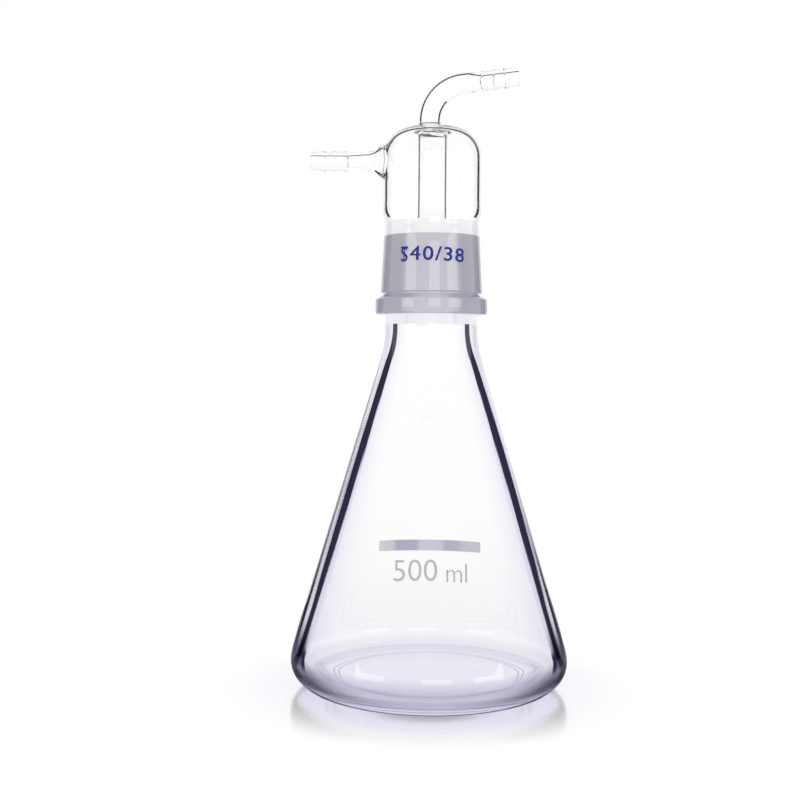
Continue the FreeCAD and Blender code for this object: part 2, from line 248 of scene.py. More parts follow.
def turning_tree():
    """Geometry nodes that round a section's corners and turn it about the upright axis."""
    tree = bpy.data.node_groups.new("turned_glass", "GeometryNodeTree")
    tree.is_modifier = True
    face = tree.interface
    for name, kind in (
        ("Section", "Geometry"),
        ("Faces Round", "Int"),
        ("Rounding Steps", "Int"),
        ("Ground From", "Float"),
        ("Ground To", "Float"),
        ("Ground Outside", "Float"),
        ("Clear Glass", "Material"),
        ("Ground Glass", "Material"),
    ):
        face.new_socket(name, in_out="INPUT", socket_type="NodeSocket" + kind)
    face.new_socket("Glass", in_out="OUTPUT", socket_type="NodeSocketGeometry")
    given = add(tree, "NodeGroupInput")

    rounding = add(tree, "GeometryNodeInputNamedAttribute", {"Name": "rounding"})[0]
    line = add(tree, "GeometryNodeMeshToCurve", {"Mesh": given["Section"]})[0]
    section = add(
        tree,
        "GeometryNodeFilletCurve",
        {
            "Curve": line,
            "Count": given["Rounding Steps"],
            "Radius": rounding,
            "Limit Radius": True,
        },
        mode="POLY",
    )[0]
    points = add(
        tree, "GeometryNodeAttributeDomainSize", {"Geometry": section}, component="CURVE"
    )["Point Count"]
    rows = add(tree, "ShaderNodeMath", {0: given["Faces Round"], 1: 1.0}, operation="ADD")[0]
    skin = add(tree, "GeometryNodeMeshGrid", {"Vertices X": points, "Vertices Y": rows})["Mesh"]

    # Each grid point takes its place along the section and its turn about the axis
    index = add(tree, "GeometryNodeInputIndex")[0]
    ratio = add(tree, "ShaderNodeMath", {0: index, 1: rows}, operation="DIVIDE")[0]
    along = add(tree, "ShaderNodeMath", {0: ratio}, operation="FLOOR")[0]
    row = add(tree, "ShaderNodeMath", {0: index, 1: rows}, operation="MODULO")[0]
    share = add(tree, "ShaderNodeMath", {0: row, 1: given["Faces Round"]}, operation="DIVIDE")[0]
    angle = add(tree, "ShaderNodeMath", {0: share, 1: 2 * pi}, operation="MULTIPLY")[0]
    position = add(tree, "GeometryNodeInputPosition")[0]
    spot = add(
        tree,
        "GeometryNodeSampleIndex",
        {"Geometry": section, "Value": position, "Index": along},
        data_type="FLOAT_VECTOR",
    )[0]
    turned = add(
        tree, "ShaderNodeVectorRotate", {"Vector": spot, "Angle": angle}, rotation_type="Z_AXIS"
    )[0]
    skin = add(tree, "GeometryNodeSetPosition", {"Geometry": skin, "Position": turned})[0]
    dark = add(tree, "GeometryNodeInputNamedAttribute", {"Name": "dark_line"})[0]
    dark = add(
        tree, "GeometryNodeSampleIndex", {"Geometry": section, "Value": dark, "Index": along}
    )[0]
    skin = add(
        tree,
        "GeometryNodeStoreNamedAttribute",
        {"Geometry": skin, "Name": "dark_line", "Value": dark},
    )[0]
    skin = add(tree, "GeometryNodeMergeByDistance", {"Geometry": skin, "Distance": 0.002 * MM})[0]
    skin = add(tree, "GeometryNodeFlipFaces", {"Mesh": skin})[0]
    skin = add(tree, "GeometryNodeSetShadeSmooth", {"Geometry": skin}, domain="FACE")[0]
    bend = add(tree, "GeometryNodeInputMeshEdgeAngle")[0]
    gentle = add(tree, "FunctionNodeCompare", {0: bend, 1: SMOOTH_BELOW}, operation="LESS_THAN")[0]
    skin = add(
        tree,
        "GeometryNodeSetShadeSmooth",
        {"Geometry": skin, "Shade Smooth": gentle},
        domain="EDGE",
    )[0]
    skin = add(tree, "GeometryNodeRealizeInstances", {"Geometry": skin})[0]
    skin = add(
        tree, "GeometryNodeSetMaterial", {"Geometry": skin, "Material": given["Clear Glass"]}
    )[0]

    # The ground cone is what lies between two heights, outside a radius
    *_, high, radius = from_axis(tree, position)
    chosen = True
    for operation, value, limit in (
        ("GREATER_THAN", high, given["Ground From"]),
        ("LESS_THAN", high, given["Ground To"]),
        ("GREATER_THAN", radius, given["Ground Outside"]),
    ):
        test = add(tree, "FunctionNodeCompare", {0: value, 1: limit}, operation=operation)
        chosen = add(tree, "FunctionNodeBooleanMath", {0: test[0], 1: chosen})[0]
    skin = add(
        tree,
        "GeometryNodeSetMaterial",
        {"Geometry": skin, "Selection": chosen, "Material": given["Ground Glass"]},
    )[0]
    add(tree, "NodeGroupOutput", {0: skin})
    return tree


def run_nodes(name, mesh, tree, values):
    """Runs a geometry node tree on a mesh and gives its result as a plain object."""
    holder = bpy.data.objects.new(name + "_section", mesh)
    bpy.context.collection.objects.link(holder)
    modifier = holder.modifiers.new("nodes", "NODES")
    modifier.node_group = tree
    sockets = {
        item.name: item.identifier
        for item in tree.interface.items_tree
        if item.item_type == "SOCKET" and item.in_out == "INPUT"
    }
    for key, value in values.items():
        modifier[sockets[key]] = value
    seen = holder.evaluated_get(bpy.context.evaluated_depsgraph_get())
    made = bpy.data.meshes.new_from_object(seen)
    made.name = name
    bpy.data.objects.remove(holder)
    return place_piece(name, made)


def place_piece(name, mesh):
    """Links a mesh into the scene as an object at the origin."""
    piece = bpy.data.objects.new(name, mesh)
    bpy.context.collection.objects.link(piece)
    return piece


def new_material(name):
    """A material with an empty tree."""
    material = bpy.data.materials.new(name)
    material.use_nodes = True
    tree = material.node_tree
    tree.nodes.clear()
    return material, tree


def pass_light(tree, shader):
    """Lets light that a matt face has scattered go straight through, with hardly a loss."""
    path = add(tree, "ShaderNodeLightPath")
    scattered = add(
        tree,
        "ShaderNodeMath",
        {0: path["Is Diffuse Ray"], 1: path["Is Shadow Ray"]},
        operation="MAXIMUM",
    )[0]
    clear = add(tree, "ShaderNodeBsdfTransparent", {"Color": linear("#fdfdfe")})[0]
    mix = add(tree, "ShaderNodeMixShader", {0: scattered, 1: shader, 2: clear})[0]
    add(tree, "ShaderNodeOutputMaterial", {"Surface": mix})


def clear_glass(colours, ring_middle):
    """Blown borosilicate glass: fire-polished, so it is smooth and shows only by its edges.

    The ring's middle is the radius halfway across the sloping ring under the flask."""
    material, tree = new_material("borosilicate_glass_blown")
    facing = add(tree, "ShaderNodeLayerWeight", {"Blend": 0.5})["Facing"]
    inside = add(tree, "ShaderNodeNewGeometry")["Backfacing"]
    limit = add(tree, "ShaderNodeAttribute", attribute_name="dark_line")["Fac"]
    *_, high, radius = from_axis(tree, add(tree, "ShaderNodeTexCoord")["Object"])
    # How far from the nearer of the ring's two edges
    off = radius
    for shift in (-ring_middle, -FOOT_RING / 2):
        off = add(tree, "ShaderNodeMath", {0: off, 1: shift}, operation="ADD")[0]
        off = add(tree, "ShaderNodeMath", {0: off}, operation="ABSOLUTE")[0]
    # A dark line ends softly, from a little before its limit to a little past it
    before, past = -0.003, 0.004
    line_near = add(tree, "ShaderNodeMath", {0: limit, 1: before}, operation="ADD")[0]
    line_far = add(tree, "ShaderNodeMath", {0: limit, 1: past}, operation="ADD")[0]
    # Well below the mark of a bore without a line, a face is no bore
    no_bore = add(tree, "ShaderNodeMath", {0: limit, 1: NO_LINE / 5}, operation="LESS_THAN")[0]
    outside = add(
        tree, "ShaderNodeMath", {0: no_bore, 1: inside}, operation="SUBTRACT", use_clamp=True
    )[0]

    # Soft steps from 0 to 1 between two values, or the other way where the last entry says so
    shares = {"inside": inside, "outside": outside, "skin": no_bore}
    for name, value, start, end, falls in (
        ("aslant", facing, 0.2, 0.9, False),
        ("flask", high, 150 * MM, 205 * MM, True),
        ("low_shade", high, 40 * MM, 90 * MM, True),
        ("behind_top", high, 7 * MM, 15 * MM, True),
        ("behind_foot", radius, 46 * MM, 51 * MM, False),
        ("line_starts", facing, 0.258, 0.266, False),
        ("line_ends", facing, line_near, line_far, True),
        ("rim_starts", facing, 0.755, 0.79, False),
        ("rim_ends", facing, 0.85, 0.90, True),
        ("low_down", high, 30 * MM, 115 * MM, True),
        ("heel_top", high, 9 * MM, 18 * MM, True),
        ("heel_foot", high, 2.5 * MM, 8 * MM, False),
        ("heel_aslant", facing, 0.15, 0.6, False),
        ("knee_top", high, 18 * MM, 34 * MM, True),
        ("knee_foot", high, 11 * MM, 15 * MM, False),
        ("knee_aslant", facing, 0.54, 0.60, False),
        ("knee_ends", facing, 0.86, 0.93, True),
        ("end_top", high, 19 * MM, 22 * MM, True),
        ("end_starts", facing, 0.545, 0.56, False),
        ("end_ends", facing, 0.60, 0.615, True),
        ("foot_edge", off, 0.2 * MM, 0.5 * MM, True),
        ("underside", high, 1.3 * MM, 1.6 * MM, True),
    ):
        first, last = (1.0, 0.0) if falls else (0.0, 1.0)
        shares[name] = add(
            tree,
            "ShaderNodeMapRange",
            {"Value": value, "From Min": start, "From Max": end, "To Min": first, "To Max": last},
            interpolation_type="SMOOTHSTEP",
        )["Result"]

    # Over the glass's own tint, painted shade and painted reflections are laid one over another, each
    # where the product of its shares says
    shade = list(colours.glass)
    for code, names in (
        # Painted shade, a touch darker low down on the flask
        (colours.glass_low_shade, ("low_shade",)),
        # Painted shade where the flask's wall is seen aslant
        (colours.glass_side_shade, ("aslant", "flask")),
        # Painted shade on the inner face at the heel's far side
        (colours.heel_behind, ("behind_top", "behind_foot", "inside", "skin")),
        # Painted reflection of the dark room on the bores' inner walls
        (colours.dark_line, ("line_starts", "line_ends", "inside")),
        # Painted dark reflection along the flask's outer edge, fading out upwards
        (colours.outer_line, ("rim_starts", "rim_ends", "low_down", "outside")),
        # Painted shade on the heel
        (colours.heel, ("heel_top", "heel_foot", "outside")),
        # Painted shade, darker at the heel's sides
        (colours.heel_side, ("heel_aslant", "heel_top", "heel_foot", "outside")),
        # Painted shade on the knee above the heel, where it is seen aslant
        (colours.heel_side, ("knee_aslant", "knee_ends", "knee_top", "knee_foot", "outside")),
        # Painted dark line on the outside of the knee, where the side's inner line ends
        (colours.dark_line, ("end_starts", "end_ends", "end_top", "knee_foot", "outside")),
        # Painted shade along the edges of the sloping foot ring
        (colours.foot_line, ("foot_edge", "underside")),
    ):
        share = shares[names[0]]
        for name in names[1:]:
            share = add(
                tree, "ShaderNodeMath", {0: share, 1: shares[name]}, operation="MULTIPLY"
            )[0]
        shade = add(tree, "ShaderNodeMix", {0: share, 6: shade, 7: list(code)}, data_type="RGBA")[2]
    # Close to the sheet that the flask stands on, light goes down with hardly a bend
    bending = add(
        tree,
        "ShaderNodeMapRange",
        {
            "Value": high,
            "From Min": 1.5 * MM,
            "From Max": 6 * MM,
            "To Min": UNBENT,
            "To Max": GLASS_INDEX,
        },
        interpolation_type="SMOOTHSTEP",
    )["Result"]
    glass = add(tree, "ShaderNodeBsdfGlass", {"Color": shade, "Roughness": 0.0, "IOR": bending})[0]
    pass_light(tree, glass)
    return material


def ground_glass(colours, joint_low, joint_high):
    """Ground glass: wheel-ground, so each surface is a fine white haze that light passes."""
    material, tree = new_material("ground_glass")
    place = add(tree, "ShaderNodeTexCoord")["Object"]
    high = add(tree, "ShaderNodeSeparateXYZ", {0: place})[2]
    facing = add(tree, "ShaderNodeLayerWeight", {"Blend": 0.5})["Facing"]
    # Half the width of the joint's soft ends, and the slants between which its painted shade darkens
    soft = 0.15 * MM
    straight, aslant = 0.06, 0.14
    # Share of the haze that is thrown back, and share of the light that is made haze
    thrown_back, hazy = 0.25, 0.9
    shares = []
    for value, start, end, first, last in (
        (high, joint_low - soft, joint_low + soft, 0.0, 1.0),
        (high, joint_high - soft, joint_high + soft, 1.0, 0.0),
        (facing, straight, aslant, 0.0, 1.0),
    ):
        shares.append(add(
            tree,
            "ShaderNodeMapRange",
            {"Value": value, "From Min": start, "From Max": end, "To Min": first, "To Max": last},
            interpolation_type="SMOOTHSTEP",
        )["Result"])
    above, below, darker = shares
    # Where the two ground faces press on each other, the haze carries painted shade, darker aslant
    pressed = add(tree, "ShaderNodeMath", {0: above, 1: below}, operation="MULTIPLY")[0]
    joint = add(
        tree,
        "ShaderNodeMix",
        {0: darker, 6: list(colours.pressed_haze_and_shade), 7: list(colours.pressed_side_haze_and_shade)},
        data_type="RGBA",
    )[2]
    shade = add(
        tree, "ShaderNodeMix", {0: pressed, 6: list(colours.bare_ground), 7: joint}, data_type="RGBA"
    )[2]
    haze = add(tree, "ShaderNodeBsdfTranslucent", {"Color": shade})[0]
    face = add(tree, "ShaderNodeBsdfDiffuse", {"Color": shade})[0]
    matt = add(tree, "ShaderNodeMixShader", {0: thrown_back, 1: haze, 2: face})[0]
    through = add(tree, "ShaderNodeBsdfTransparent", {"Color": shade})[0]
    mix = add(tree, "ShaderNodeMixShader", {0: hazy, 1: through, 2: matt})[0]
    pass_light(tree, mix)
    return material


def enamel(name, code, painted_shades=()):
    """Fired enamel: an opaque print with a satin face, with painted shade across it where it is given
    one.
    """
    material = bpy.data.materials.new(name)
    material.use_nodes = True
    tree = material.node_tree
    shader = tree.nodes["Principled BSDF"]
    shader.inputs["Base Color"].default_value = code
    shader.inputs["Roughness"].default_value = 0.6
    place = add(tree, "ShaderNodeTexCoord")["Object"]
    # Fired grains, coarser than real ones so that they show
    grain, height = 0.4 * MM, 0.02 * MM
    noise = add(tree, "ShaderNodeTexNoise", {"Vector": place, "Scale": 1 / grain, "Detail": 2.0})
    relief = {"Height": noise["Fac"], "Strength": 0.15, "Distance": height}
    tree.links.new(add(tree, "ShaderNodeBump", relief)[0], shader.inputs["Normal"])
    # Painted shade across the print, from left to right
    if painted_shades:
        across = add(tree, "ShaderNodeSeparateXYZ", {0: place})[0]
        low, high = painted_shades[0][0], painted_shades[-1][0]
        share = add(
            tree, "ShaderNodeMapRange", {"Value": across, "From Min": low, "From Max": high}
        )["Result"]
        ramp = add(tree, "ShaderNodeValToRGB", {0: share})
        stops = ramp[0].node.color_ramp.elements
        stops[1].position, stops[1].color = 1.0, linear(painted_shades[-1][1])
        stops[0].position, stops[0].color = 0.0, linear(painted_shades[0][1])
        for spot, field in painted_shades[1:-1]:
            stops.new((spot - low) / (high - low)).color = linear(field)
        tree.links.new(ramp["Color"], shader.inputs["Base Color"])
    return material


class BOTTLE_OT_flask(bpy.types.Operator):
    """Turn the conical flask from its section"""

    bl_idname = "bottle.flask"
    bl_label = "Flask"

    def execute(self, context):
        sizes = context.scene.bottle_sizes
        colours = context.scene.bottle_colours
        cone = sizes.joint_large / 2
        body = sizes.body_diameter / 2
        bore = sizes.bore / 2
        joint_foot = sizes.flask_height - sizes.joint_length
        slope, side_radius, side_foot = flask_side(sizes)
        # Carried on down, the side reaches the widest radius at this height
        widest = side_foot - (body - side_radius) / tan(slope)
        floor_edge = body - HEEL - FOOT_INSET
        foot = sizes.floor
        inner_edge = side_radius + (side_foot - foot) * tan(slope) - sizes.body_wall / cos(slope)
        bore_foot = foot + (inner_edge - bore) / tan(slope)
        mouth = cone - sizes.joint_length * TAPER
        body_line, neck_line = 1.5 * MM, 1.9 * MM
        # Low down, the side's dark line ends between these two heights
        line_foot, line_gone = 9.0 * MM, 8.6 * MM

        def inner_wall(height):
            """Radius of the side's inner face."""
            return inner_edge - (height - foot) * tan(slope)

        def dish(height, line):
            """A shallow dome from the axis to the floor's edge."""
            ball = (floor_edge**2 + PUNT**2) / (2 * PUNT)
            steps = 10
            radii = [floor_edge * step / steps for step in range(steps + 1)]
            return [(r, height + PUNT - ball + sqrt(ball**2 - r**2), 0, line) for r in radii]

        corners = [
            *dish(FOOT_STEP, None),
            (floor_edge + FOOT_RING, 0, 0, None),
            (body - HEEL, 0, 0, None),
            # A hair under the full radius keeps two roundings from meeting in one point
            (body, 0, HEEL * 0.9999, None),
            (body, widest, BELLY * 0.999, None),
            (cone, joint_foot - NECK, SHOULDER, None),
            (cone, joint_foot, 0, None),
            (mouth, sizes.flask_height, LIP, None),
            (bore, sizes.flask_height, LIP, None),
            (bore, joint_foot, 0, neck_line),
            (bore, bore_foot, INNER_SHOULDER, neck_line),
            (inner_wall(line_foot), line_foot, 0, body_line),
            (inner_wall(line_gone), line_gone, 0, 0),
            (inner_edge, foot, INNER_HEEL, 0),
            *reversed(dish(foot, 0)),
        ]
        # Two ground faces press on each other from the socket's foot to just past the mouth
        pressed = (joint_foot + SOCKET_LIFT, sizes.flask_height + LIP / 2)
        piece = run_nodes(
            "flask_glass",
            section_mesh("flask_section", corners),
            turning_tree(),
            {
                "Faces Round": sizes.faces_round,
                "Rounding Steps": 12,
                "Ground From": joint_foot,
                "Ground To": sizes.flask_height + LIP,
                "Ground Outside": bore + 1.5 * LIP,
                "Clear Glass": clear_glass(colours, floor_edge + FOOT_RING / 2),
                "Ground Glass": ground_glass(colours, *pressed),
            },
        )
        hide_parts("flask")
        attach(piece, "flask")
        return {"FINISHED"}


def outline(corners, spacing):
    """Points along (radius, height, rounding) corners, about as far apart as the spacing."""
    # Points of a rounding are about this far round it from each other
    bend = radians(9)
    bent = []
    for number, (radius, height, rounding) in enumerate(corners):
        tip = Vector((radius, height))
        if not rounding:
            bent.append(tip)
            continue
        back = (Vector(corners[number - 1][:2]) - tip).normalized()
        onward = (Vector(corners[number + 1][:2]) - tip).normalized()
        half = back.angle(onward) / 2
        centre = tip + (back + onward).normalized() * rounding / sin(half)
        spoke = tip + back * rounding / tan(half) - centre
        turn = spoke.angle_signed(tip + onward * rounding / tan(half) - centre)
        steps = max(2, round(abs(turn) / bend))
        for step in range(steps + 1):
            bent.append(centre + Matrix.Rotation(-turn * step / steps, 2) @ spoke)
    found = [bent[0]]
    for before, after in zip(bent, bent[1:]):
        steps = max(1, round((after - before).length / spacing))
        found += [before.lerp(after, step / steps) for step in range(1, steps + 1)]
    return found


def arc(centre, radius, start, end, steps):
    """Points on an arc in the plane of radius and height, between two angles above level."""
    turns = [start + (end - start) * step / steps for step in range(steps + 1)]
    return [Vector(centre) + Vector((cos(a), sin(a))) * radius for a in turns]


def hose_end(stem, start, crest, bore, back):
    """A hose end as (radius, distance) points: crests and tip outside, then back in its bore.

    The stem's radius holds from the start to the first crest, the bore's from there back."""
    corners = [(stem, start, 0)]
    for number in range(CRESTS):
        here = crest + number * CREST_PITCH
        corners += [(CREST_FOOT, here - CREST_BACK, 0), (CREST, here, CREST_EDGE)]
    tip = crest + (CRESTS - 1) * CREST_PITCH + TIP_LENGTH
    corners += [(TIP, tip, TIP_EDGE), (TIP_BORE, tip, TIP_EDGE), (TIP_BORE, crest, 0)]
    corners += [(bore, back, 0), (bore, start, 0)]
    return outline(corners, 1.2 * MM)[1:]


def marked(way, line):
    """Adds the bore's dark line to (radius, distance) points, from where they turn back."""
    distances = [distance for radius, distance in way]
    turn = distances.index(max(distances))
    return [(*spot, line if number >= turn else NO_BORE) for number, spot in enumerate(way)]


class HeadSkin:
    """The head's skin, laid ring by ring. A ring is a list of vertex numbers."""

    faces_round = 128
    # Faces on each side of the pump connection's middle, and rows below and above, left open
    beside, below, above = 10, 6, 5
    knuckle_steps = 9
    # How far the ground part reaches past the flask's mouth, and how far the crown is above that
    ground_past, rise = 6.6 * MM, 42.6 * MM
    neck_height = 4.5 * MM
    waist_rounding = 14 * MM
    pump_below_crown = 16.1 * MM
    # Rings are about this far apart on straight stretches
    spacing = 2 * MM

    def __init__(self, sizes):
        self.spots, self.dark, self.faces, self.ground = [], [], [], []
        self.turns = [2 * pi * step / self.faces_round for step in range(self.faces_round)]
        middle = self.faces_round // 2
        self.patch = range(middle - self.beside, middle + self.beside)
        self.joint_foot = sizes.flask_height - sizes.joint_length
        self.joint_radius = sizes.joint_large / 2 + GREASE
        self.socket_foot = self.joint_foot + SOCKET_LIFT
        self.dip_end = self.socket_foot - DIP_BELOW
        self.ground_top = sizes.flask_height + self.ground_past
        self.wall_foot = self.ground_top + 2 * self.neck_height
        self.top = self.ground_top + self.rise
        self.pump_height = self.top - self.pump_below_crown
        self.crown_centre = self.top - CROWN
        up = sqrt((CROWN - KNUCKLE) ** 2 - (DOME - KNUCKLE) ** 2)
        self.knuckle_centre = (DOME - KNUCKLE, self.crown_centre + up)
        self.crown_edge = atan2(up, DOME - KNUCKLE)

    def ring(self, spots, dark=NO_BORE, shown=None):
        """Adds a ring. Where its dark line isn't shown, a bore is marked as one without."""
        first = len(self.spots)
        self.spots += [tuple(spot) for spot in spots]
        bare = min(dark, NO_LINE)
        self.dark += [dark if lit else bare for lit in shown or [True] * len(spots)]
        return list(range(first, len(self.spots)))

    def circle(self, radius, height, dark=NO_BORE, shift=0.0):
        """Adds a ring that lies level."""
        return self.ring(
            [(shift + radius * cos(a), radius * sin(a), height) for a in self.turns], dark
        )

    def loft(self, rings, opened=range(0), ground=False):
        """Joins each ring to the next. The rows named stay open at the pump's patch."""
        for row, (first, second) in enumerate(zip(rings, rings[1:])):
            for a in range(len(first)):
                if row in opened and a in self.patch:
                    continue
                b = (a + 1) % len(first)
                self.faces.append((first[a], first[b], second[b], second[a]))
                self.ground.append(int(ground))

    def rim(self, rows):
        """Vertex numbers once round the pump's patch. The rows run from its top down."""
        a, b = self.patch.start, self.patch.stop
        side, back = [row[b] for row in rows[:-1]], [row[a] for row in rows[:0:-1]]
        return rows[0][a:b] + side + rows[-1][b:a:-1] + back

    def ground_radius(self, height):
        """Radius of the ground socket."""
        return self.joint_radius - (height - self.joint_foot) * TAPER

    def side_rows(self, depth):
        """Dome wall from its foot up: straight rows, then the knuckle's arc."""
        radius = DOME - depth
        rows = outline([(radius, self.wall_foot, 0), (radius, self.knuckle_centre[1], 0)], 1.4 * MM)
        knuckle = arc(self.knuckle_centre, KNUCKLE - depth, 0, self.crown_edge, self.knuckle_steps)
        return rows[:-1] + knuckle

    def outer_wall(self):
        """From the arm's root down to the socket's foot. Gives the root, the rim and the foot."""
        root = (ARM + ARM_ROOT) * CROWN / (CROWN + ARM_ROOT)
        # Rings on the crown go out this far. They start round the arm and end round the axis
        crown_reach = DOME * 0.6
        rings = []
        steps = 8
        for share in (step / steps for step in range(steps)):
            radius = root + (crown_reach - root) * share
            shift = -ARM_OFFSET * (1 - share) ** 2 * (1 + 2 * share)
            flat = [(shift + radius * cos(a), radius * sin(a)) for a in self.turns]
            rings.append(self.ring(
                [(x, y, self.crown_centre + sqrt(CROWN**2 - x * x - y * y)) for x, y in flat]
            ))
        knuckle_foot = len(rings) + self.knuckle_steps
        rings += [self.circle(*row) for row in reversed(self.side_rows(0))]
        # The thick ring at the socket's foot, and the groove above it
        ring_top = self.socket_foot + 8.6 * MM
        groove_top = ring_top + 0.9 * MM
        socket = self.ground_radius(groove_top) + SOCKET_WALL
        groove, ring = socket - 1.5 * MM, 24.4 * MM
        rows = outline(
            [
                (DOME, self.wall_foot, 0),
                (DOME, self.ground_top + self.neck_height, self.waist_rounding),
                (self.ground_radius(self.ground_top) + SOCKET_WALL, self.ground_top, 6 * MM),
                (socket, groove_top, 0.25 * MM),
                (groove, groove_top - 0.45 * MM, 0),
                (groove, ring_top, 0),
                (ring, ring_top - 2.2 * MM, 0.7 * MM),
                (ring, self.socket_foot, 1.1 * MM),
                (self.ground_radius(self.socket_foot), self.socket_foot, 0),
            ],
            self.spacing,
        )
        rings += [self.circle(*row) for row in rows[1:]]
        opened = range(knuckle_foot - self.above, knuckle_foot + self.below)
        self.loft(rings, opened)
        return rings[0], self.rim(rings[opened.start:opened.stop + 1]), rings[-1]

    def dip_ring(self, radius, height, dark=NO_BORE):
        """A ring of the dip tube, aslant at its end and level from a little above it."""
        level_from = 8 * MM
        aslant = tan(DIP_SLANT) * max(0, 1 - (height - self.dip_end) / level_from)
        ring = self.circle(radius, height, dark)
        for v in ring:
            x, y, z = self.spots[v]
            self.spots[v] = (x, y, z + x * aslant)
        return ring

    def inner_wall(self, foot_ring):
        """Ground socket, dome, then down and up the dip tube. Gives the rim and the last ring."""
        cone_top = (self.ground_radius(self.ground_top), self.ground_top, 0)
        cone_foot = (self.ground_radius(self.socket_foot), self.socket_foot, 0)
        cone = outline([cone_foot, cone_top], self.spacing)
        rings = [foot_ring] + [self.circle(*row) for row in cone[1:]]
        self.loft(rings, ground=True)
        radius = DOME - WALL
        waist = outline(
            [
                cone_top,
                (radius, self.ground_top + self.neck_height, self.waist_rounding),
                (radius, self.wall_foot, 0),
            ],
            self.spacing,
        )
        side = self.side_rows(WALL)
        knuckle_foot = len(waist[:-1]) + len(side) - self.knuckle_steps - 1
        under = CROWN - WALL
        root_centre = (DIP + DIP_ROOT, sqrt((under - DIP_ROOT) ** 2 - (DIP + DIP_ROOT) ** 2))
        touch = atan2(root_centre[1], root_centre[0])
        corner = self.crown_centre + root_centre[1]
        crown = arc((0, self.crown_centre), under, self.crown_edge, touch, 6)
        # The dome's dark line ends on the crown, before the seal round the dip tube
        rings = [rings[-1]]
        rings += [self.circle(*row, LINE_DOME) for row in waist[1:-1] + side + crown[1:3]]
        rings += [self.circle(*row, NO_LINE) for row in crown[3:]]
        seal = arc((root_centre[0], corner), DIP_ROOT, touch, pi, 8)
        rings += [self.circle(*row) for row in seal[1:]]

        end = self.dip_end
        steps = 40
        for step in range(1, steps + 1):
            rings.append(self.dip_ring(DIP, corner + (end - corner) * step / steps))
        rings.append(self.dip_ring(DIP_BORE, end))
        # The bore narrows from here up, and shifts to the arm's axis
        shoulder, narrowing = self.top - 4 * MM, 2.8 * MM
        for step in range(1, steps + 1):
            rings.append(self.dip_ring(DIP_BORE, end + (shoulder - end) * step / steps, LINE_DIP))
        steps = 8
        for share in (step / steps for step in range(1, steps + 1)):
            ease = share * share * (3 - 2 * share)
            radius = DIP_BORE + (ARM_BORE - DIP_BORE) * ease
            height = shoulder + narrowing * share
            rings.append(self.circle(radius, height, LINE_DIP, -ARM_OFFSET * ease))
        opened = range(knuckle_foot - self.below, knuckle_foot + self.above)
        self.loft(rings, opened)
        return self.rim(rings[opened.start:opened.stop + 1][::-1]), rings[-1]

    def arm_ring(self, radius, turn, distance=0.0, dark=NO_BORE):
        """A ring of the arm, at a turn of its bend and a distance beyond."""
        along = Vector((sin(turn), 0, cos(turn)))
        across = Vector((cos(turn), 0, -sin(turn)))
        middle = Vector((-ARM_OFFSET, 0, self.top + BEND_LIFT)) + along * distance
        middle += Vector((1 - cos(turn), 0, sin(turn))) * BEND_RADIUS
        side = Vector((0, radius, 0))
        # Beyond half of the bend, the bore's dark line shows on the upper side alone
        line_all_round = radians(42)
        shown = [cos(a) < 0.2 or turn < line_all_round for a in self.turns]
        spots = [middle + across * radius * cos(a) + side * sin(a) for a in self.turns]
        return self.ring(spots, dark, shown)

    def arm(self, root_ring, bore_ring):
        """Root on the crown, bend and hose end outside, then back through the bore."""
        rise = sqrt((CROWN + ARM_ROOT) ** 2 - (ARM + ARM_ROOT) ** 2)
        level = self.crown_centre + rise * CROWN / (CROWN + ARM_ROOT)
        start = atan2(-rise, -(ARM + ARM_ROOT))
        uneven = [self.spots[v][2] - level for v in root_ring]
        rings = [root_ring]
        steps = 8
        for share in (step / steps for step in range(1, steps + 1)):
            angle = start + (-pi - start) * share
            radius = ARM + ARM_ROOT + ARM_ROOT * cos(angle)
            height = self.crown_centre + rise + ARM_ROOT * sin(angle)
            rings.append(self.ring([
                (radius * cos(a) - ARM_OFFSET, radius * sin(a), height + gap * (1 - share))
                for a, gap in zip(self.turns, uneven)
            ]))
        steps = 28
        bends = [BEND * step / steps for step in range(steps + 1)]
        rings += [self.arm_ring(ARM, turn) for turn in bends]
        crest, bore_step = 8.8 * MM, 2.8 * MM
        way = hose_end(ARM, 0, crest, ARM_BORE, bore_step)
        rings += [self.arm_ring(r, BEND, distance, dark) for r, distance, dark in marked(way, LINE_ARM)]
        rings += [self.arm_ring(ARM_BORE, turn, 0.0, LINE_ARM) for turn in reversed(bends[:-1])]
        self.loft(rings + [bore_ring])

    def opening(self, rim, radius, rounding, depth, dark):
        """Rings that lead from the rim of an opened patch into a round hole with a soft edge."""

        def on_wall(y, z, away=0.0):
            """A place on the dome's wall beside and above the pump's axis, or away from the wall."""
            reach = DOME - depth
            rise = self.pump_height + z - self.knuckle_centre[1]
            if rise > 0:
                reach = self.knuckle_centre[0] + sqrt((KNUCKLE - depth) ** 2 - rise**2)
            return -sqrt(reach**2 - y**2) - away, y, self.pump_height + z

        edges = [Vector(self.spots[v][1:]) - Vector((0, self.pump_height)) for v in rim]
        spokes = [edge.normalized() for edge in edges]
        rings = []
        # Rings on the wall, closer together towards the hole
        for share in (0.4, 0.75, 1.0):
            rings.append(self.ring([
                on_wall(*edge.lerp(spoke * (radius + rounding), share))
                for edge, spoke in zip(edges, spokes)
            ], dark))
        # Then a quarter turn round the hole's edge
        steps = 6
        for a in (pi / 2 * step / steps for step in range(1, steps + 1)):
            reach, away = radius + rounding * (1 - sin(a)), rounding * (1 - cos(a))
            rings.append(self.ring([on_wall(*(spoke * reach), away) for spoke in spokes], dark))
        return rings

